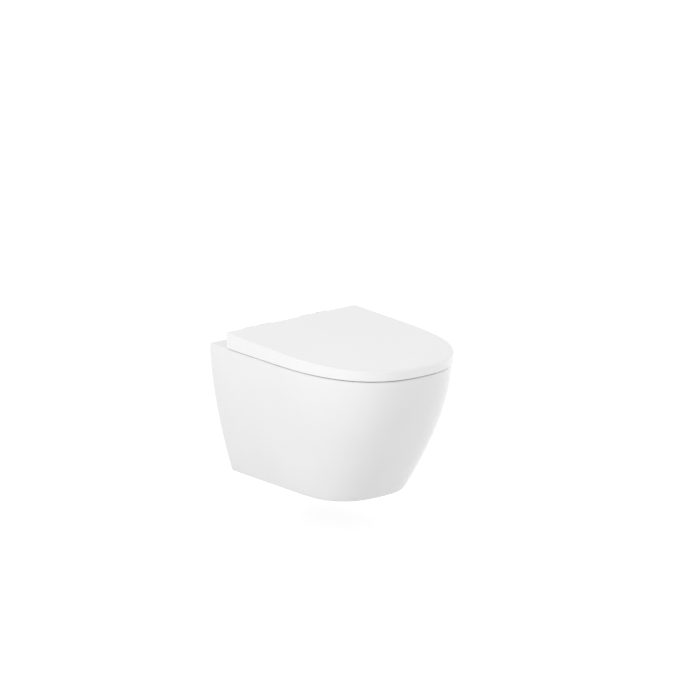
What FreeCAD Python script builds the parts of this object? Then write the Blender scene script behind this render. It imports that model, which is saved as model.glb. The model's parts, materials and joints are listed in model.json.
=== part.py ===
"""A wall-hung toilet: a vitreous china pan with its soft-close seat and lid.

Row frame, in millimetres: +Z up, -Y out from the wall, +X to the right of someone facing the
pan. The origin is on the wall face, on the centre line, at the height of the two wall studs.
"left" is the -X side, "right" the +X side.

The pan is five china castings, stuck together before firing: a skirt that is open towards the
wall, with the deck; the bulkhead that takes the studs; a rimless bowl with a flush ledge; a
trapway that rises over a weir into the outlet spigot; and a flush channel.
The seat and the lid turn on one hinge line, on steel pins held by two posts that are bolted
through the deck.
"""
import FreeCAD, Part
import math
import os

from FreeCAD import Vector

OUT = "parts"

# ---------------------------------------------------------------- pan, outside
PAN_WIDTH = 360.0  # where the rounded front of the rim begins
PAN_WALL_WIDTH = 354.0  # rim at the wall
PAN_PROJECTION = 498.0  # wall to the front of the rim
PAN_HEIGHT = 298.0  # rim to underside
RIM_ABOVE_STUDS = 80.0
RIM_NOSE = 260.0  # length of the rounded front of the rim
RIM_POWER = 2.5  # squareness of that front: 2 is an ellipse
BASE_WIDTH = 236.0  # the same sizes at the underside
BASE_WALL_WIDTH = 232.0
BASE_PROJECTION = 360.0
BASE_NOSE = 130.0
BASE_POWER = 2.7
FLANK_POWER = 1.6  # how late the flanks turn in on the way down
PROW_POWER = 1.44  # how late the front does
SKIRT_WALL = 11.0
DECK_THICKNESS = 14.0
BASE_THICKNESS = 10.0
RIM_EDGE_RADIUS = 3.0
BASE_EDGE_RADIUS = 6.0

# ---------------------------------------------------------------- bowl
BOWL_WIDTH = 244.0  # mouth, inside the rim
BOWL_FRONT_LAND = 66.0  # rim in front of the mouth
BOWL_REAR_LAND = 132.0  # deck between the wall and the mouth
LEDGE_DEPTH = 36.0  # flush ledge, below the rim
LEDGE_WIDTH = 8.0
BOWL_WALL = 9.0
SUMP_WIDTH = 66.0
SUMP_FLOOR = 3.0  # china of the bowl on top of the base
BOWL_ROUNDNESS = 1.25  # how late the bowl draws in on the way down

# ---------------------------------------------------------------- trapway and outlet
TRAP_BORE = 50.0
TRAP_WALL = 9.0
TRAP_KNEE = 22.5  # short straight in each of the two bends
TRAP_RISE_ANGLE = 60.0
WEIR_DEPTH = 186.0  # rim to the water level
OUTLET_BELOW_STUDS = 100.0
SPIGOT_DIAMETER = 102.0
SPIGOT_WALL = 6.0
SPIGOT_LENGTH = 76.0
SPIGOT_RECESS = 6.0  # spigot end to wall face

# ---------------------------------------------------------------- flush inlet and wall fixing
INLET_ABOVE_STUDS = 35.0
SOCKET_BORE = 55.0
SOCKET_DEPTH = 34.0
SOCKET_WALL = 10.0
FLUSH_PIPE = 45.0  # pipe that the rubber seal takes
SEAL_SQUEEZE = 0.1
SEAL_LENGTH = 30.0
SEAL_STEP = 2.0  # behind the seal, for the end of the pipe
SEAL_LEAD_IN = 2.0
CHANNEL_BORE = 44.0
CHANNEL_WALL = 8.0
CHANNEL_RISE_LENGTH = 40.0  # from the socket to the far end of the round channel
SLOT_WIDTH = 84.0  # flat part of the flush channel, and its mouth in the bowl
SLOT_HEIGHT = 20.0
GUIDE_INSERT = 14.0  # flush guide back into the slot
GUIDE_REACH = 16.0  # and out over the ledge
GUIDE_SIDE_GAP = 12.0  # way out for the water, each side
BULKHEAD_THICKNESS = 14.0
BULKHEAD_BELOW_STUDS = 36.0
STUD_SPACING = 180.0
STUD_CLEARANCE_HOLE = 13.0  # for an M12 stud
SLEEVE_DIAMETER = 20.0
SLEEVE_FLANGE_DIAMETER = 28.0
SLEEVE_FLANGE = 1.5
BRACKET_THICKNESS = 4.0
BRACKET_WIDTH = 46.0
BRACKET_BELOW_STUDS = 24.0
BRACKET_REACH = 15.0  # bracket in front of the seat bolt
BRACKET_BEND = 3.0  # inside radius
BRACKET_CORNER_RADIUS = 5.0

# ---------------------------------------------------------------- hinge line
HINGE_SPACING = 155.0  # between the two seat bolts
HINGE_TO_WALL = 41.0
HINGE_ABOVE_RIM = 23.0
DECK_HOLE = 15.0
BOLT_DIAMETER = 8.0
BOLT_INTO_POST = 10.0
BOLT_PAST_NUT = 4.0
BOLT_SLOT_WIDTH = 1.4
BOLT_SLOT_DEPTH = 2.0
BOLT_CHAMFER = 0.8
NUT_ACROSS_FLATS = 13.0
NUT_HEIGHT = 6.5
PAD_DIAMETER = 30.0
PAD_THICKNESS = 1.0
BASE_DISC_DIAMETER = 28.0
BASE_DISC_THICKNESS = 3.0
POST_WIDTH = 20.0
POST_FOOT_DEPTH = 22.0
EYE_DIAMETER = 15.0
PIN_DIAMETER = 8.0
PIN_CHAMFER = 0.6
PIN_END_GAP = 0.5
KNUCKLE_DIAMETER = 17.0
KNUCKLE_LENGTH = 24.0
KNUCKLE_END = 3.0  # closed end of a knuckle
CARTRIDGE_DIAMETER = 13.0
CARTRIDGE_END = 1.5
RUNNING_FIT = 0.05  # radial
LOOSE_FIT = 0.2  # radial, or per side
SIDE_GAP = 1.0  # between post and knuckles

# ---------------------------------------------------------------- lid
LID_OVERHANG = 3.7  # lid past the rim
LID_TO_WALL = 56.0
LID_GAP = 2.1  # skirt above the rim
LID_REAR_HEIGHT = 37.0  # top above the rim
LID_FRONT_HEIGHT = 24.0
LID_WALL = 4.0
LID_CORNER_RADIUS = 10.0
LID_EDGE_RADIUS = 5.0
NOTCH_CLEARANCE = 1.5  # lid skirt round the seat's arms and the posts' feet

# ---------------------------------------------------------------- seat
SEAT_SIDE_GAP = 2.0  # seat inside the lid's skirt
SEAT_LIFT = 4.0  # underside above the rim
SEAT_REAR_HEIGHT = 24.0  # top above the rim
SEAT_FRONT_HEIGHT = 16.0
SEAT_OPENING_WIDTH = 214.0
SEAT_FRONT_LAND = 68.0
SEAT_REAR_GAP = 2.0  # seat in front of the lid's rear wall as that swings
SEAT_REAR_LAND = 95.0
SEAT_TOP_RADIUS = 6.0
SEAT_CORNER_RADIUS = 8.0
BUFFER_LENGTH = 34.0
BUFFER_WIDTH = 11.0
BUFFER_RECESS = 2.0
FRONT_BUFFER_SHARE = 0.69  # place of a buffer, as a share of half the bowl's width
REAR_BUFFER_X = 140.0
REAR_BUFFER_TO_WALL = 165.0
LID_BUFFER_SHARE = 0.92

PAN_LEVELS = (0.0, 0.25, 0.5, 0.75, 1.0)  # where the lofts have their sections
CAVITY_LEVELS = (0.0, 0.125, 0.25, 0.375, 0.5, 0.625, 0.75, 0.875, 1.0)
BOWL_LEVELS = (0.0, 0.25, 0.5, 0.75, 0.93, 1.0)
BOWL_BACK_LEVELS = (0.0, 0.5, 0.8, 1.0)  # on the hidden side of the bowl
FRONT_SPANS = 8  # of the curve round the front
ROUNDING_STEPS = 2  # flats that round an edge of the pan, the lid or the seat
ROUND = 2.0  # the power at which a superellipse is a circle

# ---------------------------------------------------------------- derived places
RIM_Z = RIM_ABOVE_STUDS
UNDERSIDE_Z = RIM_Z - PAN_HEIGHT
DECK_UNDER_Z = RIM_Z - DECK_THICKNESS
BASE_INSIDE_Z = UNDERSIDE_Z + BASE_THICKNESS
LEDGE_Z = RIM_Z - LEDGE_DEPTH
SUMP_Z = BASE_INSIDE_Z + SUMP_FLOOR
WEIR_Z = RIM_Z - WEIR_DEPTH
BOWL_REAR_Y = -BOWL_REAR_LAND - BOWL_WIDTH / 2  # centres of the bowl's round ends
BOWL_FRONT_Y = -PAN_PROJECTION + BOWL_FRONT_LAND + BOWL_WIDTH / 2
INLET_Z = INLET_ABOVE_STUDS
SLOT_FLOOR_Z = DECK_UNDER_Z - SLOT_HEIGHT
SOCKET_BACK_Y = -SOCKET_DEPTH
CHANNEL_END_Y = SOCKET_BACK_Y - CHANNEL_RISE_LENGTH
FLAT_START_Y = CHANNEL_END_Y + SLOT_HEIGHT
OUTLET_Z = -OUTLET_BELOW_STUDS
SPIGOT_FRONT_Y = -SPIGOT_RECESS - SPIGOT_LENGTH
STUD_X = STUD_SPACING / 2
HINGE_X = HINGE_SPACING / 2
HINGE_Y = -HINGE_TO_WALL
HINGE_Z = RIM_Z + HINGE_ABOVE_RIM
LID_FRONT_Y = -PAN_PROJECTION - LID_OVERHANG
LID_BOTTOM_Z = RIM_Z + LID_GAP
LID_SWING = math.hypot(LID_TO_WALL + LID_WALL - HINGE_TO_WALL, HINGE_Z - LID_BOTTOM_Z)
SEAT_REAR_Y = HINGE_Y - LID_SWING - SEAT_REAR_GAP
SEAT_BOTTOM_Z = RIM_Z + SEAT_LIFT
X_AXIS = Vector(1, 0, 0)
Y_AXIS = Vector(0, 1, 0)
Z_AXIS = Vector(0, 0, 1)
PAST = 1.0  # how far a cut runs past the face it opens
FAR = 400.0  # larger than half the pan
NEAR = 0.01  # how far off a face or an edge may be and still count as in its place


# ---------------------------------------------------------------- helpers
def between(first, last, share, power=1.0):
    """The size at a share of the way from first to last."""
    return first + (last - first) * share**power


def box(x, y, z):
    """A box from three (low, high) pairs."""
    corner = Vector(x[0], y[0], z[0])
    return Part.makeBox(x[1] - x[0], y[1] - y[0], z[1] - z[0], corner)


def rod(diameter, start, end):
    """A cylinder between two points."""
    return Part.makeCylinder(diameter / 2, (end - start).Length, start, end - start)


def mirrored(shape):
    """The same shape on the other side of the centre line."""
    return shape.mirror(Vector(0, 0, 0), X_AXIS)


def level_edges(shape, z):
    """The edges of shape that lie flat at height z."""
    flat = []
    for edge in shape.Edges:
        bounds = edge.BoundBox
        if abs(bounds.ZMin - z) < NEAR and abs(bounds.ZMax - z) < NEAR:
            flat.append(edge)
    return flat


def line(start, end):
    return Part.LineSegment(start, end).toShape()


def arc(start, middle, end):
    return Part.Arc(start, middle, end).toShape()


def loft(wires, ruled=False):
    """A solid through closed wires, smooth or with straight sides between them."""
    return Part.makeLoft(wires, True, ruled, False, 3)


def rounding(radius):
    """The (inset, drop) pairs of the flats that round an edge, from the face down to the side."""
    pairs = []
    for k in range(ROUNDING_STEPS + 1):
        turn = math.pi / 2 * k / ROUNDING_STEPS
        pairs.append((radius * (1 - math.sin(turn)), radius * (1 - math.cos(turn))))
    return pairs


# A plane is a pair: its height at the wall, and its rise per millimetre of Y.
def flat(z):
    return z, 0.0


def sloped(rear_y, rear_z, front_y, front_z):
    """The plane through a rear and a front height."""
    slope = (rear_z - front_z) / (rear_y - front_y)
    return rear_z - slope * rear_y, slope


def lowered(plane, drop):
    return plane[0] - drop, plane[1]


def on(plane, x, y):
    """The point of a plane above a place in plan."""
    return Vector(x, y, plane[0] + plane[1] * y)


def quarter(plane, start, corner, end):
    """A quarter of an ellipse from start to end, bulging towards corner; all three are (x, y)."""
    pull = (math.sqrt(2) - 1) * 4 / 3
    near_start = [a + (b - a) * pull for a, b in zip(start, corner)]
    near_end = [a + (b - a) * pull for a, b in zip(end, corner)]
    curve = Part.BezierCurve()
    curve.setPoles([on(plane, *place) for place in (start, near_start, near_end, end)])
    return curve.toShape()


def front_places(half_width, join_y, nose, power):
    """Points on half a superellipse round the front, from the left side to the right, as (x, y)."""
    places = []
    for k in range(FRONT_SPANS + 1):
        turn = math.pi * k / FRONT_SPANS
        x = -half_width * math.copysign(abs(math.cos(turn)) ** (2 / power), math.cos(turn))
        places.append((x, join_y - nose * math.sin(turn) ** (2 / power)))
    return places


def front_knots():
    """How far along the rim's own front each point lies: every front shares these, so the lofts stay even."""
    places = front_places(PAN_WIDTH / 2, 0.0, RIM_NOSE, RIM_POWER)
    knots = [0.0]
    for before, place in zip(places, places[1:]):
        knots.append(knots[-1] + math.dist(before, place))
    return knots


def front_curve(plane, half_width, join_y, nose, power):
    """The smooth curve round the front, in a plane."""
    points = [on(plane, *place) for place in front_places(half_width, join_y, nose, power)]
    knots = front_knots()
    ahead = on((0.0, plane[1]), 0, -1) * (points[0].distanceToPoint(points[1]) / knots[1])
    curve = Part.BSplineCurve()
    curve.interpolate(
        Points=points, InitialTangent=ahead, FinalTangent=-ahead, Parameters=knots, Scale=False
    )
    return curve.toShape()


def rounded_front(plane, half_rear, half_join, rear_y, join_y, nose, power, corner=0.0):
    """A plan outline: straight across the back, straight sides, one superellipse round the front."""
    lean = (half_join - half_rear) / (rear_y - join_y)
    half_corner = half_rear + lean * corner
    edges = [
        line(on(plane, -half_corner, rear_y - corner), on(plane, -half_join, join_y)),
        front_curve(plane, half_join, join_y, nose, power),
        line(on(plane, half_join, join_y), on(plane, half_corner, rear_y - corner)),
    ]
    if corner > 0:
        right_side = (half_corner, rear_y - corner)
        right_back = (half_rear - corner, rear_y)
        left_side = (-half_corner, rear_y - corner)
        left_back = (-half_rear + corner, rear_y)
        edges.append(quarter(plane, right_side, (half_rear, rear_y), right_back))
        edges.append(line(on(plane, *right_back), on(plane, *left_back)))
        edges.append(quarter(plane, left_back, (-half_rear, rear_y), left_side))
    else:
        edges.append(line(on(plane, half_rear, rear_y), on(plane, -half_rear, rear_y)))
    return Part.Wire(edges)


def under(plane):
    """A block that fills all the space from the rim up to a plane."""
    low = flat(RIM_Z)
    corners = [on(low, -FAR, 0), on(plane, -FAR, 0), on(plane, -FAR, -2 * FAR), on(low, -FAR, -2 * FAR)]
    return Part.Face(Part.makePolygon(corners + corners[:1])).extrude(X_AXIS * 2 * FAR)


# ---------------------------------------------------------------- pan
def pan_section(z, inset=0.0, rear_y=0.0):
    """The skirt's plan outline at height z, drawn in by inset and carried back to rear_y."""
    share = (RIM_Z - z) / PAN_HEIGHT
    half_wall = between(PAN_WALL_WIDTH, BASE_WALL_WIDTH, share, FLANK_POWER) / 2
    half_join = between(PAN_WIDTH, BASE_WIDTH, share, FLANK_POWER) / 2
    projection = between(PAN_PROJECTION, BASE_PROJECTION, share, PROW_POWER)
    nose = between(RIM_NOSE, BASE_NOSE, share)
    power = between(RIM_POWER, BASE_POWER, share)
    join_y = nose - projection
    half_rear = between(half_wall, half_join, rear_y / join_y)
    return rounded_front(
        flat(z), half_rear - inset, half_join - inset, rear_y, join_y, nose - inset, power
    )


def pan_outside():
    """The whole skirt and deck, solid, with rounded rim and base edges and a flat back on the wall."""
    top = RIM_Z - RIM_EDGE_RADIUS
    bottom = UNDERSIDE_Z + BASE_EDGE_RADIUS
    skirt = loft([pan_section(between(top, bottom, share), 0.0, PAST) for share in PAN_LEVELS])
    rim = [pan_section(RIM_Z - drop, inset, PAST) for inset, drop in rounding(RIM_EDGE_RADIUS)]
    base = [pan_section(UNDERSIDE_Z + drop, inset, PAST) for inset, drop in rounding(BASE_EDGE_RADIUS)]
    whole = skirt.fuse([loft(rim, True), loft(base, True)])
    return whole.cut(box((-FAR, FAR), (0.0, 2 * PAST), (UNDERSIDE_Z - PAST, RIM_Z + PAST)))


def pan_cavity():
    """The space inside the skirt, open to the wall."""
    heights = [between(DECK_UNDER_Z, BASE_INSIDE_Z, share) for share in CAVITY_LEVELS]
    return loft([pan_section(z, SKIRT_WALL, SKIRT_WALL) for z in heights], True)


def bowl_outline(radius, z):
    """The bowl in plan at height z: two half circles joined by straight sides."""
    side = X_AXIS * radius
    front = Vector(0, BOWL_FRONT_Y, z)
    rear = Vector(0, BOWL_REAR_Y, z)
    return Part.Wire(
        [
            arc(front - side, front - Y_AXIS * radius, front + side),
            line(front + side, rear + side),
            arc(rear + side, rear + Y_AXIS * radius, rear - side),
            line(rear - side, front - side),
        ]
    )


def bowl_form(grow, top_z, bottom_z, levels):
    """The bowl as a solid: a straight band down to the ledge, then the fall to the sump."""
    mouth = Part.Face(bowl_outline(BOWL_WIDTH / 2 + grow, LEDGE_Z - grow))
    band = mouth.extrude(Z_AXIS * (top_z - LEDGE_Z + grow))
    top_radius = BOWL_WIDTH / 2 - LEDGE_WIDTH
    wires = []
    for share in levels:
        fall = (1 - share**BOWL_ROUNDNESS) ** (1 / BOWL_ROUNDNESS)
        radius = between(SUMP_WIDTH / 2, top_radius, fall)
        wires.append(bowl_outline(radius + grow, between(LEDGE_Z, bottom_z, share)))
    return band.fuse(loft(wires, True))


def bowl_outside():
    return bowl_form(BOWL_WALL, DECK_UNDER_Z, BASE_INSIDE_Z, BOWL_BACK_LEVELS)


def bowl_inside():
    return bowl_form(0.0, RIM_Z + PAST, SUMP_Z, BOWL_LEVELS)


def trapway(diameter, end_y):
    """The trapway as a round bar with mitred bends, from the sump over the weir to end_y."""
    rise = math.radians(TRAP_RISE_ANGLE)
    knee = Vector(0, math.cos(rise / 2), math.sin(rise / 2)) * TRAP_KNEE
    low = SUMP_Z + TRAP_BORE / 2
    climb = WEIR_Z + TRAP_BORE / 2 - low - 2 * knee.z
    weir = Vector(0, SPIGOT_FRONT_Y - TRAP_KNEE / 2, WEIR_Z + TRAP_BORE / 2)
    brow = weir - knee
    shin = brow - Vector(0, climb / math.tan(rise), climb)
    foot = shin - knee
    start = Vector(0, BOWL_REAR_Y, low)
    path = Part.makePolygon([start, foot, shin, brow, weir, Vector(0, end_y, weir.z)])
    circle = Part.Wire([Part.Circle(start, Y_AXIS, diameter / 2).toShape()])
    return path.makePipeShell([circle], True, False, 1)


def flat_channel(grow, start_y, end_y):
    """The flat part of the flush channel, between two distances from the wall."""
    half_height = SLOT_HEIGHT / 2 + grow
    reach = Vector(SLOT_WIDTH / 2 - SLOT_HEIGHT / 2, 0, 0)
    middle = Vector(0, start_y, SLOT_FLOOR_Z + SLOT_HEIGHT / 2)
    right = middle + reach
    left = middle - reach
    up = Z_AXIS * half_height
    outline = Part.Wire(
        [
            line(left + up, right + up),
            arc(right + up, right + X_AXIS * half_height, right - up),
            line(right - up, left - up),
            arc(left - up, left - X_AXIS * half_height, left + up),
        ]
    )
    return Part.Face(outline).extrude(Y_AXIS * (end_y - start_y))


def flush_voids():
    """The bore for the flush seal and the water's way from there into the bowl."""
    at_wall = Vector(0, PAST, INLET_Z)
    return [
        rod(SOCKET_BORE, Vector(0, SOCKET_BACK_Y, INLET_Z), at_wall),
        rod(CHANNEL_BORE, Vector(0, CHANNEL_END_Y, INLET_Z), at_wall),
        flat_channel(0.0, FLAT_START_Y, -BOWL_REAR_LAND - SLOT_HEIGHT),
    ]


def bulkhead():
    """The space that the bulkhead takes, right across the pan."""
    return box((-FAR, FAR), (-BULKHEAD_THICKNESS, 0.0), (-BULKHEAD_BELOW_STUDS, RIM_Z))


def make_pan_body():
    """The skirt and the deck, with the bowl's mouth and the holes for the seat bolts."""
    bolt_hole = hinge_rod(DECK_HOLE, DECK_UNDER_Z - PAST, RIM_Z + PAST)
    return pan_outside().cut([pan_cavity(), bowl_inside(), bolt_hole, mirrored(bolt_hole)])


def make_bulkhead():
    """The wall of china across the back, with the holes for the studs and the flush socket."""
    inlet = Vector(0, 0, INLET_Z)
    through = Y_AXIS * (BULKHEAD_THICKNESS + PAST)
    holes = [rod(SOCKET_BORE, inlet - through, inlet + through)]
    for x in (-STUD_X, STUD_X):
        stud = Vector(x, 0, 0)
        holes.append(rod(SLEEVE_DIAMETER, stud - through, stud + through))
    return pan_cavity().common(bulkhead()).cut(holes)


def make_bowl():
    """The rimless bowl under the deck, standing on the base."""
    trap_bore = trapway(TRAP_BORE, SPIGOT_FRONT_Y)
    return bowl_outside().cut([bowl_inside(), trap_bore] + flush_voids())


def make_trapway():
    """The trapway with its outlet spigot."""
    spigot_rear = Vector(0, -SPIGOT_RECESS, OUTLET_Z)
    spigot_front = Vector(0, SPIGOT_FRONT_Y, OUTLET_Z)
    outside = trapway(TRAP_BORE + 2 * TRAP_WALL, SPIGOT_FRONT_Y)
    outside = outside.fuse(rod(SPIGOT_DIAMETER, spigot_front, spigot_rear))
    spigot_bore = SPIGOT_DIAMETER - 2 * SPIGOT_WALL
    return outside.cut(
        [
            bowl_outside(),
            box((-FAR, FAR), (-FAR, 0.0), (UNDERSIDE_Z, BASE_INSIDE_Z)),
            trapway(TRAP_BORE, SPIGOT_FRONT_Y + SPIGOT_WALL + PAST),
            rod(spigot_bore, spigot_front + Y_AXIS * SPIGOT_WALL, spigot_rear + Y_AXIS),
        ]
    )


def make_flush_channel():
    """The socket for the flush pipe and the channel that leads forward under the deck."""
    front = Vector(0, CHANNEL_END_Y - CHANNEL_WALL, INLET_Z)
    back = Vector(0, SOCKET_BACK_Y - SOCKET_WALL, INLET_Z)
    at_wall = Vector(0, 0, INLET_Z)
    outside = rod(SOCKET_BORE + 2 * SOCKET_WALL, back, at_wall)
    outside = outside.fuse(
        [
            rod(CHANNEL_BORE + 2 * CHANNEL_WALL, front, at_wall),
            flat_channel(CHANNEL_WALL, FLAT_START_Y + CHANNEL_WALL, -BOWL_REAR_LAND - CHANNEL_WALL),
        ]
    )
    deck = box((-FAR, FAR), (-FAR, 0.0), (DECK_UNDER_Z, RIM_Z))
    return outside.cut([bowl_outside(), bulkhead(), deck] + flush_voids())


# ---------------------------------------------------------------- flush inlet and wall fixing
def make_flush_seal():
    """The rubber ring that the flush pipe is pushed into."""
    front = Vector(0, SOCKET_BACK_Y + SEAL_STEP, INLET_Z)
    rear = front + Y_AXIS * SEAL_LENGTH
    outside = rod(SOCKET_BORE - 2 * RUNNING_FIT, front, rear)
    bore = FLUSH_PIPE - 2 * SEAL_SQUEEZE
    seal = outside.cut(rod(bore, front - Y_AXIS, rear + Y_AXIS))
    lead_in_start = rear - Y_AXIS * SEAL_LEAD_IN
    return seal.cut(Part.makeCone(bore / 2, bore / 2 + SEAL_LEAD_IN, SEAL_LEAD_IN, lead_in_start, Y_AXIS))


def make_flush_guide():
    """The plastic insert in the slot: a hood that turns the water to both sides along the ledge."""
    floor = flat(SLOT_FLOOR_Z)
    half_width = SLOT_WIDTH / 2 - GUIDE_SIDE_GAP
    half_rear = half_width - GUIDE_INSERT
    rear_y = -BOWL_REAR_LAND + GUIDE_INSERT
    left = on(floor, -half_width, -BOWL_REAR_LAND)
    right = on(floor, half_width, -BOWL_REAR_LAND)
    outline = Part.Wire(
        [
            line(on(floor, -half_rear, rear_y), left),
            arc(left, on(floor, 0, -BOWL_REAR_LAND - GUIDE_REACH), right),
            line(right, on(floor, half_rear, rear_y)),
            line(on(floor, half_rear, rear_y), on(floor, -half_rear, rear_y)),
        ]
    )
    return Part.Face(outline).extrude(Z_AXIS * (SLOT_HEIGHT - LOOSE_FIT))


def make_stud_sleeves():
    """The two nylon sleeves in the bulkhead, flanged on the inside."""
    sleeves = []
    for side in (-1, 1):
        wall = Vector(side * STUD_X, -LOOSE_FIT, 0)
        inside = Vector(side * STUD_X, -BULKHEAD_THICKNESS, 0)
        flange_end = inside - Y_AXIS * SLEEVE_FLANGE
        sleeve = rod(SLEEVE_DIAMETER - 2 * RUNNING_FIT, inside, wall)
        sleeve = sleeve.fuse(rod(SLEEVE_FLANGE_DIAMETER, flange_end, inside))
        sleeves.append(sleeve.cut(rod(STUD_CLEARANCE_HOLE, flange_end - Y_AXIS, wall + Y_AXIS)))
    return Part.makeCompound(sleeves)


def make_fixing_bracket():
    """The steel angle on the right-hand wall stud, with a leg under the deck that takes the seat bolt."""
    rear_y = -BULKHEAD_THICKNESS - SLEEVE_FLANGE
    front_y = HINGE_Y - BRACKET_REACH
    bend = BRACKET_BEND + BRACKET_THICKNESS
    top = DECK_UNDER_Z
    bottom = -BRACKET_BELOW_STUDS
    middle_x = (STUD_X + HINGE_X) / 2
    width = (middle_x - BRACKET_WIDTH / 2, middle_x + BRACKET_WIDTH / 2)
    upright = box(width, (rear_y - BRACKET_THICKNESS, rear_y), (bottom, top - bend))
    shelf = box(width, (front_y, rear_y - bend), (top - BRACKET_THICKNESS, top))
    heel = Vector(width[0], rear_y - bend, top - bend)
    corner = rod(2 * bend, heel, heel + X_AXIS * BRACKET_WIDTH)
    corner = corner.cut(rod(2 * BRACKET_BEND, heel, heel + X_AXIS * BRACKET_WIDTH))
    corner = corner.common(box(width, (heel.y, heel.y + bend), (heel.z, heel.z + bend)))
    bracket = upright.fuse([corner, shelf]).removeSplitter()
    ends = [e for e in bracket.Edges if is_free_corner(e, front_y, bottom)]
    bracket = bracket.makeFillet(BRACKET_CORNER_RADIUS, ends)
    stud = Vector(STUD_X, rear_y, 0)
    bolt = Vector(HINGE_X, HINGE_Y, top)
    return bracket.cut(
        [
            rod(STUD_CLEARANCE_HOLE, stud - Y_AXIS * 2 * BRACKET_THICKNESS, stud + Y_AXIS),
            rod(BOLT_DIAMETER + 2 * LOOSE_FIT, bolt - Z_AXIS * 2 * BRACKET_THICKNESS, bolt + Z_AXIS),
        ]
    )


def is_free_corner(edge, front_y, bottom):
    """True for the short edges at the two free ends of a bracket."""
    middle = edge.CenterOfMass
    short = abs(edge.Length - BRACKET_THICKNESS) < NEAR
    return short and (abs(middle.y - front_y) < NEAR or abs(middle.z - bottom) < NEAR)


# ---------------------------------------------------------------- hinge posts, bolted through the deck
def on_both_sides(make_one):
    """A right-hand piece and its mirror image, as one group."""
    right = make_one()
    return Part.makeCompound([mirrored(right), right])


def hinge_rod(diameter, low_z, high_z):
    """An upright cylinder on the right-hand seat bolt."""
    return rod(diameter, Vector(HINGE_X, HINGE_Y, low_z), Vector(HINGE_X, HINGE_Y, high_z))


def make_weld_nut():
    """A hexagon nut under the bracket's shelf."""
    top = DECK_UNDER_Z - BRACKET_THICKNESS
    radius = NUT_ACROSS_FLATS / 2 / math.cos(math.pi / 6)
    points = []
    for k in range(7):
        turn = math.pi / 3 * k
        x = HINGE_X + radius * math.cos(turn)
        points.append(Vector(x, HINGE_Y + radius * math.sin(turn), top - NUT_HEIGHT))
    nut = Part.Face(Part.makePolygon(points)).extrude(Z_AXIS * NUT_HEIGHT)
    return nut.cut(hinge_rod(BOLT_DIAMETER + 2 * RUNNING_FIT, top - NUT_HEIGHT - PAST, top + PAST))


def make_bush():
    """The rubber bush that fills the deck hole round the bolt."""
    bush = hinge_rod(DECK_HOLE - 2 * RUNNING_FIT, DECK_UNDER_Z, RIM_Z)
    return bush.cut(hinge_rod(BOLT_DIAMETER + 2 * RUNNING_FIT, DECK_UNDER_Z - PAST, RIM_Z + PAST))


def make_seat_bolt():
    """The threaded stud from the post down into the nut, slotted at its lower end."""
    bottom = DECK_UNDER_Z - BRACKET_THICKNESS - NUT_HEIGHT - BOLT_PAST_NUT
    top = RIM_Z + PAD_THICKNESS + BOLT_INTO_POST
    bolt = hinge_rod(BOLT_DIAMETER, bottom, top)
    bolt = bolt.makeChamfer(BOLT_CHAMFER, level_edges(bolt, bottom) + level_edges(bolt, top))
    slot = box(
        (HINGE_X - BOLT_SLOT_WIDTH / 2, HINGE_X + BOLT_SLOT_WIDTH / 2),
        (HINGE_Y - BOLT_DIAMETER, HINGE_Y + BOLT_DIAMETER),
        (bottom - PAST, bottom + BOLT_SLOT_DEPTH),
    )
    return bolt.cut(slot)


def make_base_pad():
    """The soft pad between a post's foot and the china."""
    pad = hinge_rod(PAD_DIAMETER, RIM_Z, RIM_Z + PAD_THICKNESS)
    return pad.cut(hinge_rod(BOLT_DIAMETER + 2 * RUNNING_FIT, RIM_Z - PAST, RIM_Z + 2 * PAD_THICKNESS))


def make_hinge_post():
    """The right-hand cast post: round foot, tapered upright and a round eye for the pin."""
    foot_z = RIM_Z + PAD_THICKNESS
    disc_top = foot_z + BASE_DISC_THICKNESS
    disc = hinge_rod(BASE_DISC_DIAMETER, foot_z, disc_top)
    disc = disc.makeChamfer(BASE_DISC_THICKNESS / 2, level_edges(disc, disc_top))
    eye_radius = EYE_DIAMETER / 2
    axis = Vector(HINGE_X - POST_WIDTH / 2, HINGE_Y, HINGE_Z)
    down = Z_AXIS * (HINGE_Z - foot_z)
    half_foot = Y_AXIS * POST_FOOT_DEPTH / 2
    foot_reach = math.hypot(down.z, half_foot.y)
    turn = math.acos(eye_radius / foot_reach) - math.atan2(half_foot.y, down.z)
    out = Y_AXIS * eye_radius * math.sin(turn)
    drop = Z_AXIS * eye_radius * math.cos(turn)
    outline = Part.Wire(
        [
            line(axis - down + half_foot, axis - down - half_foot),
            line(axis - down - half_foot, axis - out - drop),
            arc(axis - out - drop, axis + Z_AXIS * eye_radius, axis + out - drop),
            line(axis + out - drop, axis - down + half_foot),
        ]
    )
    post = disc.fuse(Part.Face(outline).extrude(X_AXIS * POST_WIDTH))
    pin_bore = rod(PIN_DIAMETER + 2 * RUNNING_FIT, axis - X_AXIS, axis + X_AXIS * (POST_WIDTH + PAST))
    bolt_bore = hinge_rod(BOLT_DIAMETER + 2 * RUNNING_FIT, foot_z - PAST, foot_z + BOLT_INTO_POST + PAST)
    return post.cut([pin_bore, bolt_bore])


def make_hinge_pin():
    """The steel pin through a post, with both ends in the knuckles beside it."""
    reach = POST_WIDTH / 2 + SIDE_GAP + KNUCKLE_LENGTH - KNUCKLE_END - CARTRIDGE_END - PIN_END_GAP
    middle = Vector(HINGE_X, HINGE_Y, HINGE_Z)
    pin = rod(PIN_DIAMETER, middle - X_AXIS * reach, middle + X_AXIS * reach)
    ends = [e for e in pin.Edges if e.BoundBox.XLength < NEAR]
    return pin.makeChamfer(PIN_CHAMFER, ends)


def cartridge_span(side):
    """Inner and outer X of the hinge cartridge on one side of the right-hand post: 1 is outboard."""
    near = HINGE_X + side * (POST_WIDTH / 2 + SIDE_GAP)
    return near, near + side * (KNUCKLE_LENGTH - KNUCKLE_END)


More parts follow.
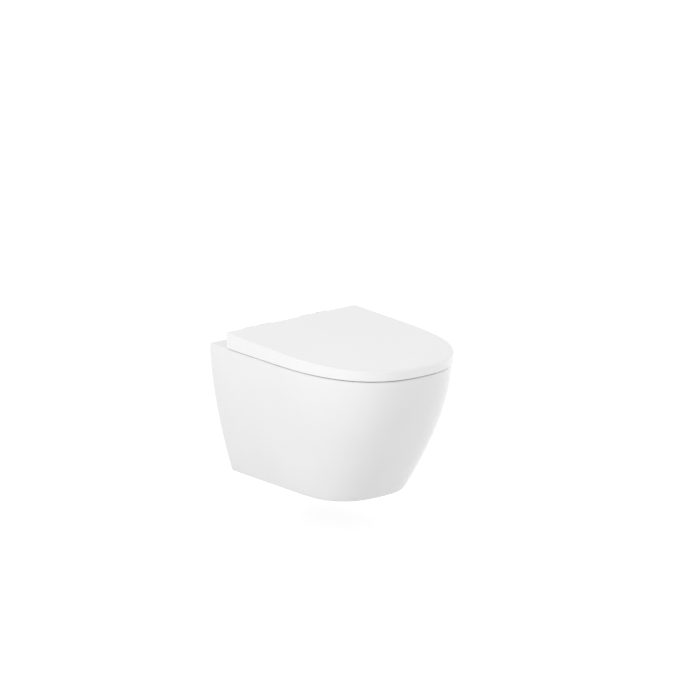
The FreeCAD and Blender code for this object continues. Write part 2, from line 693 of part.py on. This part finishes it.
def make_cartridge(side):
    """The hinge cartridge in a knuckle beside the right-hand post."""
    near, far = cartridge_span(side)
    start = Vector(near, HINGE_Y, HINGE_Z)
    cartridge = rod(CARTRIDGE_DIAMETER - 2 * RUNNING_FIT, start, Vector(far, HINGE_Y, HINGE_Z))
    bore_end = Vector(far - side * CARTRIDGE_END, HINGE_Y, HINGE_Z)
    return cartridge.cut(rod(PIN_DIAMETER + 2 * RUNNING_FIT, start - X_AXIS * side, bore_end))


def knuckle(side, reach_y, top_z, bottom_z):
    """A hinge knuckle beside the right-hand post, with an arm forward to reach_y between two heights."""
    near = HINGE_X + side * (POST_WIDTH / 2 + SIDE_GAP)
    far = near + side * KNUCKLE_LENGTH
    low_x = min(near, far)
    radius = KNUCKLE_DIAMETER / 2
    axis = Vector(low_x, HINGE_Y, HINGE_Z)
    up = Z_AXIS * radius
    low_end = Vector(low_x, reach_y, bottom_z)
    high_end = Vector(low_x, reach_y, top_z)
    outline = Part.Wire(
        [
            arc(axis + up, axis + Y_AXIS * radius, axis - up),
            line(axis - up, low_end),
            line(low_end, high_end),
            line(high_end, axis + up),
        ]
    )
    return Part.Face(outline).extrude(X_AXIS * KNUCKLE_LENGTH)


def knuckle_bore(side):
    """The blind bore in a knuckle for its cartridge, open towards the post."""
    near, far = cartridge_span(side)
    start = Vector(near - side * PAST, HINGE_Y, HINGE_Z)
    return rod(CARTRIDGE_DIAMETER, start, Vector(far, HINGE_Y, HINGE_Z))


# ---------------------------------------------------------------- lid
def lid_top(drop=0.0):
    """The plane of the lid's sloped top, lowered by drop."""
    plane = sloped(-LID_TO_WALL, RIM_Z + LID_REAR_HEIGHT, LID_FRONT_Y, RIM_Z + LID_FRONT_HEIGHT)
    return lowered(plane, drop)


def cover_section(plane, inset, rear_y, corner):
    """The plan outline of the lid or the seat, drawn in from the lid's outer face."""
    grow = LID_OVERHANG - inset
    join_y = RIM_NOSE - PAN_PROJECTION
    half_rear = between(PAN_WALL_WIDTH, PAN_WIDTH, rear_y / join_y) / 2 + grow
    half_join = PAN_WIDTH / 2 + grow
    return rounded_front(plane, half_rear, half_join, rear_y, join_y, RIM_NOSE + grow, RIM_POWER, corner)


def make_lid():
    """The lid shell with its two knuckles."""
    wires = [cover_section(flat(LID_BOTTOM_Z), 0.0, -LID_TO_WALL, LID_CORNER_RADIUS)]
    for inset, drop in reversed(rounding(LID_EDGE_RADIUS)):
        corner = LID_CORNER_RADIUS - inset
        wires.append(cover_section(lid_top(drop), inset, -LID_TO_WALL - inset, corner))
    inner_rear_y = -LID_TO_WALL - LID_WALL
    inner_corner = LID_CORNER_RADIUS - LID_WALL
    inside = [
        cover_section(flat(LID_BOTTOM_Z - PAST), LID_WALL, inner_rear_y, inner_corner),
        cover_section(lid_top(LID_WALL), LID_WALL, inner_rear_y, inner_corner),
    ]
    shell = loft(wires, True).cut(loft(inside, True))
    radius = KNUCKLE_DIAMETER / 2
    arm = knuckle(1, -LID_TO_WALL - LID_WALL / 2, HINGE_Z + radius, HINGE_Z - radius)
    shell = shell.fuse([arm, mirrored(arm)])
    through_wall = (inner_rear_y - PAST, -LID_TO_WALL + PAST)
    under_skirt = LID_BOTTOM_Z - PAST
    arm_notch = box(seat_knuckle_x(), through_wall, (under_skirt, HINGE_Z + radius + NOTCH_CLEARANCE))
    foot_reach = BASE_DISC_DIAMETER / 2 + NOTCH_CLEARANCE
    foot_top = RIM_Z + PAD_THICKNESS + BASE_DISC_THICKNESS
    foot_notch = box(
        (HINGE_X - foot_reach, HINGE_X + foot_reach), through_wall, (under_skirt, foot_top + NOTCH_CLEARANCE)
    )
    cuts = [arm_notch, foot_notch, knuckle_bore(1)]
    return shell.cut(cuts + [mirrored(cut) for cut in cuts])


def seat_knuckle_x():
    """Low and high X of the notch round the seat's right-hand knuckle."""
    high = HINGE_X - POST_WIDTH / 2 - SIDE_GAP
    return high - KNUCKLE_LENGTH - NOTCH_CLEARANCE, high + NOTCH_CLEARANCE


# ---------------------------------------------------------------- seat
def seat_top(drop=0.0):
    """The plane of the seat's sloped top, lowered by drop."""
    plane = sloped(-LID_TO_WALL, RIM_Z + SEAT_REAR_HEIGHT, LID_FRONT_Y, RIM_Z + SEAT_FRONT_HEIGHT)
    return lowered(plane, drop)


def seat_hole_outline(plane, grow):
    """The seat's opening: two half circles joined by straight sides."""
    radius = SEAT_OPENING_WIDTH / 2
    rear = SEAT_REAR_Y - SEAT_REAR_LAND
    front = -PAN_PROJECTION + SEAT_FRONT_LAND
    wide = radius + grow
    rear_join = rear - radius
    front_join = front + radius
    return Part.Wire(
        [
            quarter(plane, (0, rear + grow), (wide, rear + grow), (wide, rear_join)),
            line(on(plane, wide, rear_join), on(plane, wide, front_join)),
            quarter(plane, (wide, front_join), (wide, front - grow), (0, front - grow)),
            quarter(plane, (0, front - grow), (-wide, front - grow), (-wide, front_join)),
            line(on(plane, -wide, front_join), on(plane, -wide, rear_join)),
            quarter(plane, (-wide, rear_join), (-wide, rear + grow), (0, rear + grow)),
        ]
    )


def make_seat():
    """The seat ring with its two knuckles."""
    inset = LID_WALL + SEAT_SIDE_GAP
    wires = [cover_section(flat(SEAT_BOTTOM_Z), inset, SEAT_REAR_Y, SEAT_CORNER_RADIUS)]
    hole = [seat_hole_outline(flat(SEAT_BOTTOM_Z - PAST), 0.0)]
    for draw_in, drop in reversed(rounding(SEAT_TOP_RADIUS)):
        rear_y = SEAT_REAR_Y - draw_in
        corner = SEAT_CORNER_RADIUS - draw_in
        wires.append(cover_section(seat_top(drop), inset + draw_in, rear_y, corner))
        hole.append(seat_hole_outline(seat_top(drop), draw_in))
    seat = loft(wires, True).cut(loft(hole, True))
    arm_y = SEAT_REAR_Y - SEAT_TOP_RADIUS
    arm = knuckle(-1, arm_y, on(seat_top(SIDE_GAP), 0, arm_y).z, SEAT_BOTTOM_Z + SIDE_GAP)
    seat = seat.fuse([arm, mirrored(arm)])
    bore = knuckle_bore(-1)
    return seat.cut([bore, mirrored(bore), front_buffers(LOOSE_FIT), rear_buffers(LOOSE_FIT)])


def buffer_pad(x, y, turn, low_z, high_z, grow=0.0):
    """A buffer with rounded ends, turned in plan by an angle in degrees."""
    half = (BUFFER_LENGTH - BUFFER_WIDTH) / 2
    along = Vector(math.cos(math.radians(turn)), math.sin(math.radians(turn)), 0)
    radius = BUFFER_WIDTH / 2 + grow
    across = Z_AXIS.cross(along) * radius
    middle = Vector(x, y, low_z)
    first = middle - along * half
    last = middle + along * half
    outline = Part.Wire(
        [
            line(first - across, last - across),
            arc(last - across, last + along * radius, last + across),
            line(last + across, first + across),
            arc(first + across, first - along * radius, first - across),
        ]
    )
    return Part.Face(outline).extrude(Z_AXIS * (high_z - low_z))


def front_y(x, half_width, join_y, nose, power):
    """Where a superellipse front lies at a distance from the centre line."""
    return join_y - nose * (1 - (abs(x) / half_width) ** power) ** (1 / power)


def front_land(x):
    """Middle of the front rim between the bowl and the outside, at a distance from the centre line."""
    inner = front_y(x, BOWL_WIDTH / 2, BOWL_FRONT_Y, BOWL_WIDTH / 2, ROUND)
    outer = front_y(x, PAN_WIDTH / 2, RIM_NOSE - PAN_PROJECTION, RIM_NOSE, RIM_POWER)
    return (inner + outer) / 2


def pad_along_front(x, low_z, high_z, grow=0.0):
    """A buffer on the front land, turned to follow it, and its mirror image."""
    y = front_land(x)
    turn = math.degrees(math.atan((front_land(x + PAST) - y) / PAST))
    pad = buffer_pad(x, y, turn, low_z, high_z, grow)
    return Part.makeCompound([mirrored(pad), pad])


def front_buffers(grow=0.0):
    """The two front buffers under the seat, let into its underside."""
    return pad_along_front(FRONT_BUFFER_SHARE * BOWL_WIDTH / 2, RIM_Z, SEAT_BOTTOM_Z + BUFFER_RECESS, grow)


def rear_buffers(grow=0.0):
    """The two rear ones."""
    top_z = SEAT_BOTTOM_Z + BUFFER_RECESS
    pad = buffer_pad(REAR_BUFFER_X, -REAR_BUFFER_TO_WALL, 90, RIM_Z, top_z, grow)
    return Part.makeCompound([mirrored(pad), pad])


def lid_buffers():
    """The two buffers inside the lid, which rest on the seat."""
    pads = pad_along_front(LID_BUFFER_SHARE * BOWL_WIDTH / 2, SEAT_BOTTOM_Z, RIM_Z + LID_REAR_HEIGHT)
    return pads.common(under(lid_top(LID_WALL))).cut(under(seat_top()))


# ---------------------------------------------------------------- the assembly
def make_parts():
    """Every sub-part by its name."""
    return {
        "pan_body": make_pan_body(),
        "bulkhead": make_bulkhead(),
        "bowl": make_bowl(),
        "trapway": make_trapway(),
        "flush_channel": make_flush_channel(),
        "flush_seal": make_flush_seal(),
        "flush_guide": make_flush_guide(),
        "stud_sleeves": make_stud_sleeves(),
        "bracket_nuts": on_both_sides(make_weld_nut),
        "seat_bolts": on_both_sides(make_seat_bolt),
        "deck_bushes": on_both_sides(make_bush),
        "base_pads": on_both_sides(make_base_pad),
        "hinge_pins": on_both_sides(make_hinge_pin),
        "hinge_posts": on_both_sides(make_hinge_post),
        "fixing_brackets": on_both_sides(make_fixing_bracket),
        "seat_ring": make_seat(),
        "seat_damper": mirrored(make_cartridge(-1)),
        "seat_bush": make_cartridge(-1),
        "seat_front_buffers": front_buffers(),
        "seat_rear_buffers": rear_buffers(),
        "lid_shell": make_lid(),
        "lid_damper": make_cartridge(1),
        "lid_bush": mirrored(make_cartridge(1)),
        "lid_buffers": lid_buffers(),
    }


def main():
    os.makedirs(OUT, exist_ok=True)
    for name, shape in make_parts().items():
        shape.exportStep(os.path.join(OUT, name + ".step"))


main()
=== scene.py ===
"""Wall hung toilet with a closed seat and lid, dressed and lit like the photograph.

All sizes are in metres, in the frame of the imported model: +Z up, the wall is the plane y = 0 and the
bowl points along -Y. The five castings of the pan, the seat and the lid are shown by pieces with their
solids' own form, whose narrow bands shade as one rounding. Every other solid is shown as it is.
"""

import json
import math

import bmesh
import bpy
from mathutils import Matrix, Vector


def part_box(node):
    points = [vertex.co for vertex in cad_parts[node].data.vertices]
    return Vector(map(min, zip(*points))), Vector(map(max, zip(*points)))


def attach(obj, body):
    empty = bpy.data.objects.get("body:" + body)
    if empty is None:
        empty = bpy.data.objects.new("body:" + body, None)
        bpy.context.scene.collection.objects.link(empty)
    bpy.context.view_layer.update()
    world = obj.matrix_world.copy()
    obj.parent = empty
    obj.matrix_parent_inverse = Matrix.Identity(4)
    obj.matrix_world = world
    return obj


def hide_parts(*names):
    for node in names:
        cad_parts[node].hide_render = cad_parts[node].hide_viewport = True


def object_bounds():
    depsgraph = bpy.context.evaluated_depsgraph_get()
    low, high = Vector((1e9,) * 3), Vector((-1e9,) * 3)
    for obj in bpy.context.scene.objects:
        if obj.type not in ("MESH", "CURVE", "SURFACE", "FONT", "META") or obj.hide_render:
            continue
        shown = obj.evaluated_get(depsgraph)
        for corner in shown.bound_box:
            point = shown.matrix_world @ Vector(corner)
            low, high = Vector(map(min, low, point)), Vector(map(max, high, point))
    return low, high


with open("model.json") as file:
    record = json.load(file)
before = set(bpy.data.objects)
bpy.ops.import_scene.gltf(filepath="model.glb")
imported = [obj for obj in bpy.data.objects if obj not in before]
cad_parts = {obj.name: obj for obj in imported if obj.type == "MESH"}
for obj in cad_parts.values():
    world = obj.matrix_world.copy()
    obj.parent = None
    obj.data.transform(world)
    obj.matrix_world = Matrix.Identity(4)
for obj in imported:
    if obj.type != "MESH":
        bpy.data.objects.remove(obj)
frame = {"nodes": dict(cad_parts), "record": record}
cad_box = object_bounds()

# ---- Camera, worked out from the photograph ----
IMAGE_SIZE = 700  # the photograph is square
AZIMUTH = math.radians(-39.55)  # from straight in front, towards -X
ELEVATION = math.radians(15.38)
DISTANCE = 17.9  # the photograph's lines are almost parallel
PIXELS_PER_METRE = 462.4  # at WALL_POINT
WALL_POINT = Vector((0, 0, 0.080))  # the middle of the deck's edge on the wall
WALL_POINT_PIXEL = (273.9, 329.16)  # where the photograph has it, from its top left
SENSOR_WIDTH = 36  # millimetres
CLIP = (0.1, 100)

# ---- Surroundings ----
FLOOR_DROP = 0.102  # from the pan's underside to the floor
FLOOR_HALF = 30  # half the floor's side: past every view's edge
FLOOR_PAINT = ((0.78, 0.78, 0.78), (0.75, 0.75, 0.75))
FLOOR_ROUGHNESS = 0.9
FLOOR_NEAR_FAR = (1.0, 4.0)  # distances from the frame's origin between which the floor's lift grows
FLOOR_LIFT = (0.40, 0.46)  # light the seen floor gives off, near and far, to be as pale as the photograph
WORLD_LIGHT = 0.755  # of the white surroundings, on the object
WHITE = 1.0  # what the camera and reflections see of them
LAMP_TARGET = (0, -0.25, -0.05)  # about the middle of the object
LAMPS = (  # name, place, side in metres, power in watts
    ("key", (-2.7, -0.85, 1.2), 2.2, 29),
    ("side", (2.65, -1.15, 0.5), 2.7, 29),
)

# ---- Meshes ----
WELD = 2e-6  # corners closer than this are one
FLAT = 5e-4  # radians between faces that are one
LEVEL = 1e-5  # how far off a height still is on it
CREASE = math.radians(50)  # a sharper edge is no part of a rounding
MOUTH_EDGE = (0.004, 4)  # radius and steps where the bowl's mouth meets the deck
SEAT_EDGE = (0.0020, 3)  # the seat's lower edges
LID_EDGE = (0.0008, 2)  # the lid's lower edges
MOUTH_BACK = -0.125  # the mouth's edge is in front of this, the deck's holes and rear edge behind it
SAME_PLANE = 0.0005  # how far a face's middle may be off a plane that it lies in
UPRIGHT = 0.9  # a face whose normal has this much of Z is level
SPIGOT_LENGTH = 0.076  # glazed end of the trapway

# ---- Materials ----
NOISE_RANGE = (0.3, 0.7)  # where most of a noise's values are
PATCH_DETAIL = 3.0  # octaves of the colour's soft patches
SHEEN_DETAIL = 4.0  # and of the uneven sheen,
SHEEN_TO_PATCH = 6  # which is this many times as fine
COLOUR_A, COLOUR_B, COLOUR_RESULT = 6, 7, 2  # a Mix node's sockets for colours
VALUE_A, VALUE_B, VALUE_RESULT = 2, 3, 0  # and for numbers
GLAZE = ((0.872, 0.872, 0.871), (0.852, 0.852, 0.851))
GLAZE_ROUGHNESS = (0.045, 0.11)
GLAZE_IOR = 1.52
BARE_CHINA = ((0.80, 0.78, 0.73), (0.73, 0.70, 0.65))
BARE_ROUGHNESS = (0.72, 0.9)
FINISHES = {  # by material slot; patch and grain in waves a metre, depth of the grain in metres
    "seat_plastic": dict(light=(0.900, 0.900, 0.899), dark=(0.886, 0.886, 0.885), rough=(0.10, 0.20),
                         patch=6.0, grain=700.0, depth=1.5e-6, IOR=1.5),
    "chrome": dict(light=(0.78, 0.79, 0.80), dark=(0.72, 0.73, 0.745), rough=(0.05, 0.16),
                   patch=30.0, grain=1500.0, depth=1e-6, Metallic=1.0),
    "pin_steel": dict(light=(0.60, 0.60, 0.59), dark=(0.52, 0.52, 0.52), rough=(0.22, 0.38),
                      patch=40.0, grain=3000.0, depth=3e-6, stretch=(0.05, 1, 1), Metallic=1.0),
    "zinc_steel": dict(light=(0.64, 0.65, 0.67), dark=(0.50, 0.52, 0.55), rough=(0.28, 0.48),
                       patch=45.0, grain=1200.0, depth=6e-6, Metallic=1.0),
    "seal_rubber": dict(light=(0.030, 0.030, 0.032), dark=(0.052, 0.051, 0.050), rough=(0.55, 0.75),
                        patch=50.0, grain=1800.0, depth=2e-5),
    "buffer_rubber": dict(light=(0.72, 0.72, 0.71), dark=(0.64, 0.64, 0.63), rough=(0.45, 0.62),
                          patch=60.0, grain=1500.0, depth=1e-5),
    "clear_soft": dict(light=(0.86, 0.87, 0.87), dark=(0.80, 0.81, 0.81), rough=(0.20, 0.34),
                       patch=60.0, grain=1500.0, depth=5e-6, Transmission_Weight=0.55, IOR=1.45),
    "nylon": dict(light=(0.80, 0.79, 0.74), dark=(0.72, 0.71, 0.66), rough=(0.36, 0.52),
                  patch=60.0, grain=1600.0, depth=8e-6),
    "guide_plastic": dict(light=(0.62, 0.63, 0.64), dark=(0.55, 0.56, 0.57), rough=(0.35, 0.5),
                          patch=50.0, grain=1600.0, depth=8e-6),
    "damper_plastic": dict(light=(0.33, 0.34, 0.35), dark=(0.27, 0.28, 0.29), rough=(0.30, 0.46),
                           patch=55.0, grain=1600.0, depth=8e-6),
}


def add_camera():
    """The camera looks along one fixed direction, and WALL_POINT falls where the photograph has it."""
    back = Vector((math.sin(AZIMUTH) * math.cos(ELEVATION),
                   -math.cos(AZIMUTH) * math.cos(ELEVATION),
                   math.sin(ELEVATION)))
    right = Vector((math.cos(AZIMUTH), math.sin(AZIMUTH), 0))
    up = back.cross(right)
    aside = (WALL_POINT_PIXEL[0] - IMAGE_SIZE / 2) / PIXELS_PER_METRE
    below = (WALL_POINT_PIXEL[1] - IMAGE_SIZE / 2) / PIXELS_PER_METRE
    data = bpy.data.cameras.new("camera")
    data.sensor_width = SENSOR_WIDTH
    data.lens = PIXELS_PER_METRE * DISTANCE / IMAGE_SIZE * SENSOR_WIDTH
    data.clip_start, data.clip_end = CLIP
    camera = bpy.data.objects.new("camera", data)
    turn = Matrix((right, up, back)).transposed().to_4x4()
    place = WALL_POINT - right * aside + up * below + back * DISTANCE
    camera.matrix_world = Matrix.Translation(place) @ turn
    bpy.context.scene.collection.objects.link(camera)
    bpy.context.scene.camera = camera


# ---- Making materials ----
def new_material(name):
    """A material with one principled shader, its node tree and that shader."""
    material = bpy.data.materials.new(name)
    material.use_nodes = True
    tree = material.node_tree
    tree.nodes.clear()
    output = tree.nodes.new("ShaderNodeOutputMaterial")
    shader = tree.nodes.new("ShaderNodeBsdfPrincipled")
    tree.links.new(shader.outputs["BSDF"], output.inputs["Surface"])
    return material, tree, shader


def object_place(tree, stretch=(1, 1, 1)):
    """Coordinates fixed to the piece, stretched along its axes."""
    source = tree.nodes.new("ShaderNodeTexCoord")
    mapping = tree.nodes.new("ShaderNodeMapping")
    mapping.inputs["Scale"].default_value = stretch
    tree.links.new(source.outputs["Object"], mapping.inputs["Vector"])
    return mapping.outputs["Vector"]


def noise(tree, place, scale, detail=2.0):
    """A noise pattern with that many waves in a metre."""
    texture = tree.nodes.new("ShaderNodeTexNoise")
    texture.inputs["Scale"].default_value = scale
    texture.inputs["Detail"].default_value = detail
    tree.links.new(place, texture.inputs["Vector"])
    return texture.outputs["Fac"]


def spread(tree, value, to, source=NOISE_RANGE):
    """The value's range mapped to another one."""
    scaled = tree.nodes.new("ShaderNodeMapRange")
    scaled.inputs["From Min"].default_value, scaled.inputs["From Max"].default_value = source
    scaled.inputs["To Min"].default_value, scaled.inputs["To Max"].default_value = to
    tree.links.new(value, scaled.inputs["Value"])
    return scaled.outputs["Result"]


def joined(tree, kind, operation, first, second=None):
    """The result of a math or vector math node."""
    node = tree.nodes.new(kind)
    node.operation = operation
    tree.links.new(first, node.inputs[0])
    if second is not None:
        tree.links.new(second, node.inputs[1])
    return node.outputs["Value"]


def mixed_colour(tree, factor, first, second):
    """A colour between two, each either a colour or a link."""
    mix = tree.nodes.new("ShaderNodeMix")
    mix.data_type = "RGBA"
    tree.links.new(factor, mix.inputs["Factor"])
    for socket, colour in ((mix.inputs[COLOUR_A], first), (mix.inputs[COLOUR_B], second)):
        if isinstance(colour, tuple):
            socket.default_value = (*colour, 1)
        else:
            tree.links.new(colour, socket)
    return mix.outputs[COLOUR_RESULT]


def mixed_value(tree, factor, first, second):
    """A number between two links."""
    mix = tree.nodes.new("ShaderNodeMix")
    tree.links.new(factor, mix.inputs["Factor"])
    tree.links.new(first, mix.inputs[VALUE_A])
    tree.links.new(second, mix.inputs[VALUE_B])
    return mix.outputs[VALUE_RESULT]


def patches(tree, place, scale, detail, colours):
    """Soft patches of two close colours."""
    return mixed_colour(tree, spread(tree, noise(tree, place, scale, detail), (0, 1)), *colours)


def bump(tree, height, depth, strength=1.0, before=None):
    """A bump of that depth in metres, on top of another one."""
    node = tree.nodes.new("ShaderNodeBump")
    node.inputs["Strength"].default_value = strength
    node.inputs["Distance"].default_value = depth
    tree.links.new(height, node.inputs["Height"])
    if before is not None:
        tree.links.new(before, node.inputs["Normal"])
    return node.outputs["Normal"]


def surface(name, light, dark, rough, patch, grain, depth, stretch=(1, 1, 1), **sockets):
    """A worn surface: two close colours in soft patches, an uneven sheen and a fine grain."""
    material, tree, shader = new_material(name)
    place = object_place(tree)
    fine = object_place(tree, stretch)
    tree.links.new(patches(tree, place, patch, PATCH_DETAIL, (light, dark)), shader.inputs["Base Color"])
    sheen = spread(tree, noise(tree, fine, patch * SHEEN_TO_PATCH, SHEEN_DETAIL), rough)
    tree.links.new(sheen, shader.inputs["Roughness"])
    tree.links.new(bump(tree, noise(tree, fine, grain), depth), shader.inputs["Normal"])
    for socket, value in sockets.items():
        shader.inputs[socket.replace("_", " ")].default_value = value
    return material


def china_material():
    """White glaze, gently wavy with a fine peel, and bare china on the faces marked unglazed."""
    material, tree, shader = new_material("china_glaze")
    place = object_place(tree)
    glaze = patches(tree, place, 7.0, PATCH_DETAIL, GLAZE)
    body = patches(tree, place, 60.0, 5.0, BARE_CHINA)
    raw = tree.nodes.new("ShaderNodeAttribute")
    raw.attribute_name = "unglazed"
    bare = raw.outputs["Fac"]
    tree.links.new(mixed_colour(tree, bare, glaze, body), shader.inputs["Base Color"])
    gloss = spread(tree, noise(tree, place, scale=40.0, detail=3.0), GLAZE_ROUGHNESS)
    matt = spread(tree, noise(tree, place, scale=200.0, detail=4.0), BARE_ROUGHNESS)
    tree.links.new(mixed_value(tree, bare, gloss, matt), shader.inputs["Roughness"])
    waves = bump(tree, noise(tree, place, scale=14.0, detail=1.0), depth=2.5e-4, strength=0.35)
    peel = bump(tree, noise(tree, place, scale=420.0), depth=3e-6, strength=0.6, before=waves)
    tree.links.new(peel, shader.inputs["Normal"])
    shader.inputs["IOR"].default_value = GLAZE_IOR
    return material


MATERIALS = {"china": china_material()}
for slot_name, finish in FINISHES.items():
    MATERIALS[slot_name] = surface(slot_name, **finish)


# ---- Pieces ----
def low_z(node):
    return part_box(node)[0].z


def high_z(node):
    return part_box(node)[1].z


def welded(node):
    """A working copy of a node's mesh: neighbouring faces share their corners, flat faces are whole."""
    work = bmesh.new()
    work.from_mesh(frame["nodes"][node].data)
    bmesh.ops.remove_doubles(work, verts=work.verts, dist=WELD)
    bmesh.ops.dissolve_degenerate(work, edges=work.edges, dist=WELD)
    bmesh.ops.recalc_face_normals(work, faces=work.faces)
    bmesh.ops.dissolve_limit(work, angle_limit=FLAT, verts=work.verts, edges=work.edges, delimit={"NORMAL"})
    return work


def is_sharp(edge):
    return edge.is_manifold and edge.calc_face_angle() > CREASE


def soften(work, height, radius, steps, inside):
    """Rounds the sharp edges that lie flat at a height, where their middle passes the inside test."""
    picked = []
    for edge in work.edges:
        first, last = (corner.co for corner in edge.verts)
        level = abs(first.z - height) < LEVEL and abs(last.z - height) < LEVEL
        if level and is_sharp(edge) and inside((first + last) / 2):
            picked.append(edge)
    bmesh.ops.bevel(work, geom=picked, offset=radius, offset_type="OFFSET", segments=steps, profile=0.5,
                    affect="EDGES", clamp_overlap=True)


def shown_as(name, node, body, slot, soft_edges=()):
    """A piece with the node's form, some edges rounded, whose narrow bands shade as one rounding."""
    work = welded(node)
    for edges in soft_edges:
        soften(work, *edges)
    for face in work.faces:
        face.smooth = True
    for edge in work.edges:
        edge.smooth = not is_sharp(edge)
    mesh = bpy.data.meshes.new(name)
    work.to_mesh(mesh)
    work.free()
    if "custom_normal" in mesh.attributes:
        mesh.attributes.remove(mesh.attributes["custom_normal"])
    piece = bpy.data.objects.new(name, mesh)
    bpy.context.scene.collection.objects.link(piece)
    weights = piece.modifiers.new("edge_shading", "WEIGHTED_NORMAL")
    weights.keep_sharp = True
    mesh.materials.clear()
    mesh.materials.append(MATERIALS[slot])
    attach(piece, body)
    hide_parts(node)
    return piece


def mark_unglazed(piece, is_bare):
    """A value per face, 1 where the china has no glaze."""
    mesh = piece.data
    layer = mesh.attributes.new("unglazed", "FLOAT", "FACE")
    for face in mesh.polygons:
        layer.data[face.index].value = 1.0 if is_bare(face.center, face.normal) else 0.0


def make_china():
    """The five castings of the pan. The glaze stops at the wall and inside the hollow back."""
    rim = high_z("pan_body")
    hollow_top = high_z("bulkhead")
    hollow_floor = low_z("bowl")
    bowl_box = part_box("bowl")
    bowl_middle = (bowl_box[0] + bowl_box[1]) / 2
    spigot_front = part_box("trapway")[1].y - SPIGOT_LENGTH

    def at_mouth(place):
        return place.y < MOUTH_BACK

    def outwards(place, normal):
        """Above 0 for a face that looks away from the bowl's upright axis."""
        return Vector((place.x, place.y - bowl_middle.y, 0)).dot(normal)

    def skirt_bare(place, normal):
        on_wall = place.y > -SAME_PLANE
        inner_side = outwards(place, normal) < 0 and place.z < hollow_top + LEVEL
        ceiling = normal.z < -UPRIGHT and abs(place.z - hollow_top) < SAME_PLANE
        floor = normal.z > UPRIGHT and abs(place.z - hollow_floor) < SAME_PLANE
        return on_wall or inner_side or ceiling or floor

    def bowl_bare(place, normal):
        return outwards(place, normal) > 0 and normal.z < UPRIGHT

    def trapway_bare(place, normal):
        return place.y < spigot_front

    def all_bare(place, normal):
        return True

    body = shown_as("pan_china", "pan_body", "pan", "china", [(rim, *MOUTH_EDGE, at_mouth)])
    mark_unglazed(body, skirt_bare)
    mark_unglazed(shown_as("bulkhead_china", "bulkhead", "pan", "china"), all_bare)
    mark_unglazed(shown_as("bowl_china", "bowl", "pan", "china"), bowl_bare)
    mark_unglazed(shown_as("trapway_china", "trapway", "pan", "china"), trapway_bare)
    mark_unglazed(shown_as("channel_china", "flush_channel", "pan", "china"), all_bare)


def make_covers():
    """The seat and the lid, with their lower edges eased."""
    def everywhere(place):
        return True

    seat_edge = (low_z("seat_ring"), *SEAT_EDGE, everywhere)
    lid_edge = (low_z("lid_shell"), *LID_EDGE, everywhere)
    shown_as("seat_cover", "seat_ring", "seat", "seat_plastic", [seat_edge])
    shown_as("lid_cover", "lid_shell", "lid", "seat_plastic", [lid_edge])


def finish_of_nodes():
    """Every node gets the material of its slot in the record."""
    slots = {part["node"]: part["material_slot"] for part in frame["record"]["subparts"]}
    for name, node in frame["nodes"].items():
        node.data.materials.clear()
        node.data.materials.append(MATERIALS[slots[name]])


# ---- Studio ----
def by_ray(tree, light_level):
    """White for what the camera, gloss and glass show, and a level of its own for the light on things."""
    paths = tree.nodes.new("ShaderNodeLightPath")
    seen = paths.outputs["Is Camera Ray"]
    for ray in ("Is Glossy Ray", "Is Transmission Ray"):
        seen = joined(tree, "ShaderNodeMath", "MAXIMUM", seen, paths.outputs[ray])
    return spread(tree, seen, (light_level, WHITE), (0, 1))


def add_world():
    """White surroundings that light the object a little less than white."""
    world = bpy.data.worlds.new("studio")
    world.use_nodes = True
    tree = world.node_tree
    background = tree.nodes["Background"]
    background.inputs["Color"].default_value = (1, 1, 1, 1)
    tree.links.new(by_ray(tree, WORLD_LIGHT), background.inputs["Strength"])
    bpy.context.scene.world = world


def add_floor():
    """A plain pale floor under the hanging pan, as white as the photograph's but for the pan's shadow."""
    low = cad_box[0].z - FLOOR_DROP
    corners = [(-FLOOR_HALF, -FLOOR_HALF, low), (FLOOR_HALF, -FLOOR_HALF, low),
               (FLOOR_HALF, FLOOR_HALF, low), (-FLOOR_HALF, FLOOR_HALF, low)]
    mesh = bpy.data.meshes.new("floor")
    mesh.from_pydata(corners, [], [(0, 1, 2, 3)])
    floor = bpy.data.objects.new("floor", mesh)
    bpy.context.scene.collection.objects.link(floor)
    material, tree, shader = new_material("floor_paint")
    place = object_place(tree)
    colour = mixed_colour(tree, noise(tree, place, scale=3.0), *FLOOR_PAINT)
    tree.links.new(colour, shader.inputs["Base Color"])
    shader.inputs["Roughness"].default_value = FLOOR_ROUGHNESS
    away = joined(tree, "ShaderNodeVectorMath", "LENGTH", place)
    lift = joined(tree, "ShaderNodeMath", "MULTIPLY",
                  spread(tree, away, FLOOR_LIFT, FLOOR_NEAR_FAR), by_ray(tree, 0.0))
    tree.links.new(lift, shader.inputs["Emission Strength"])
    shader.inputs["Emission Color"].default_value = (1, 1, 1, 1)
    mesh.materials.append(material)


def add_lamp(name, place, side, power):
    """A soft square lamp that looks at the object. Gloss shows the white surroundings in its place."""
    data = bpy.data.lights.new(name, "AREA")
    data.shape = "SQUARE"
    data.size = side
    data.energy = power
    lamp = bpy.data.objects.new(name, data)
    lamp.location = place
    lamp.visible_glossy = False
    lamp.rotation_mode = "QUATERNION"
    lamp.rotation_quaternion = (Vector(LAMP_TARGET) - Vector(place)).to_track_quat("-Z", "Y")
    bpy.context.scene.collection.objects.link(lamp)


# ---- The scene ----
bpy.context.scene.view_settings.view_transform = "Standard"
add_camera()
finish_of_nodes()
make_china()
make_covers()
add_world()
add_floor()
for lamp_facts in LAMPS:
    add_lamp(*lamp_facts)
